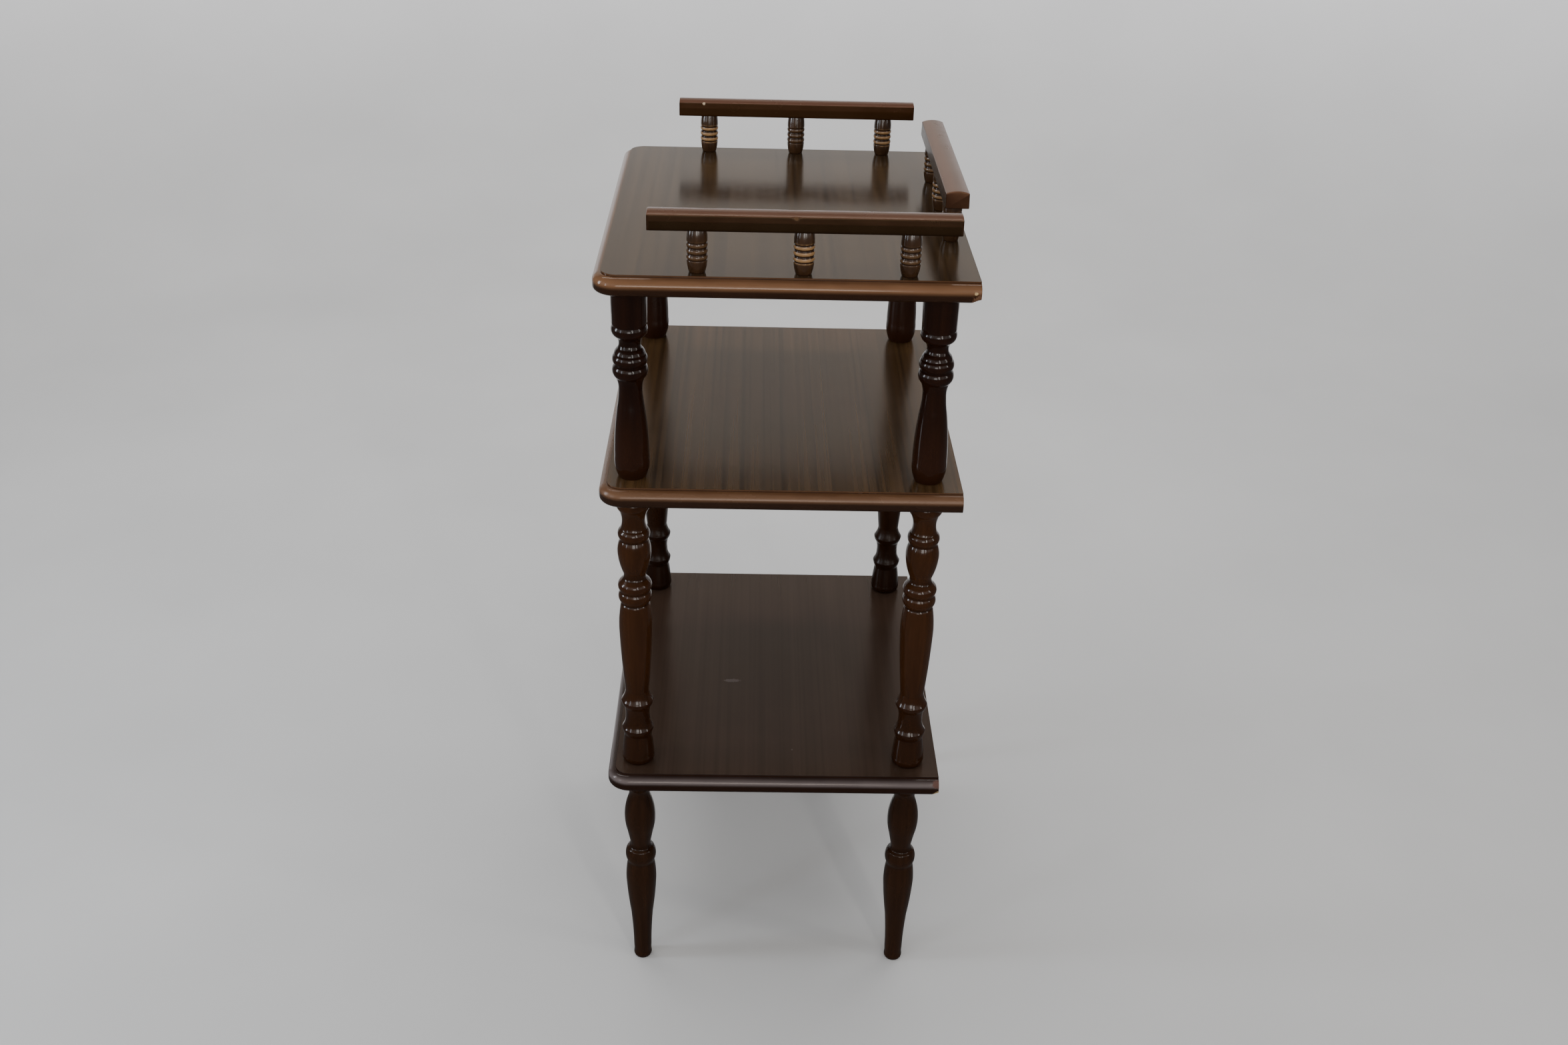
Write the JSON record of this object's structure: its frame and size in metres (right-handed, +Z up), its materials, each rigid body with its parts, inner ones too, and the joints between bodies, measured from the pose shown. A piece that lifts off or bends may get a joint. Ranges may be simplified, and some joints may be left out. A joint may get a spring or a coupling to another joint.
{
  "type": "etagere",
  "caption": "Small tiered etagere in dark stained wood: moulded shelves on turned posts and tapered legs, with a low gallery of rails on beaded spindles round the top shelf.",
  "frame": {"origin": "on the floor, midway between the four feet", "axes": "+Z up, +Y towards the plain back edge, +X to the right seen from the front"},
  "size_m": [0.374, 0.3, 0.7602],
  "materials": {
    "shelf_wood": "semi-gloss lacquer",
    "upper_post_wood": "gloss lacquer",
    "lower_post_wood": "gloss lacquer",
    "leg_wood": "gloss lacquer",
    "rail_wood": "satin lacquer",
    "spindle_wood": "rubbed lacquer",
    "screw_steel": "zinc plate"
  },
  "bodies": {
    "root": {"top_shelf": "shelf_wood", "middle_shelf": "shelf_wood", "bottom_shelf": "shelf_wood", "upper_post_front_left": "upper_post_wood", "lower_post_front_left": "lower_post_wood", "leg_front_left": "leg_wood", "upper_post_front_right": "upper_post_wood", "lower_post_front_right": "lower_post_wood", "leg_front_right": "leg_wood", "upper_post_back_left": "upper_post_wood", "lower_post_back_left": "lower_post_wood", "leg_back_left": "leg_wood", "upper_post_back_right": "upper_post_wood", "lower_post_back_right": "lower_post_wood", "leg_back_right": "leg_wood", "gallery_rail_left": "rail_wood", "gallery_spindle_left_1": "spindle_wood", "gallery_spindle_left_2": "spindle_wood", "gallery_spindle_left_3": "spindle_wood", "gallery_rail_right": "rail_wood", "gallery_spindle_right_1": "spindle_wood", "gallery_spindle_right_2": "spindle_wood", "gallery_spindle_right_3": "spindle_wood", "gallery_rail_back": "rail_wood", "gallery_spindle_back_1": "spindle_wood", "gallery_spindle_back_2": "spindle_wood", "gallery_spindle_back_3": "spindle_wood", "top_shelf_dowel_screws": "screw_steel", "middle_shelf_dowel_screws": "screw_steel", "bottom_shelf_dowel_screws": "screw_steel"}
  },
  "joints": []
}
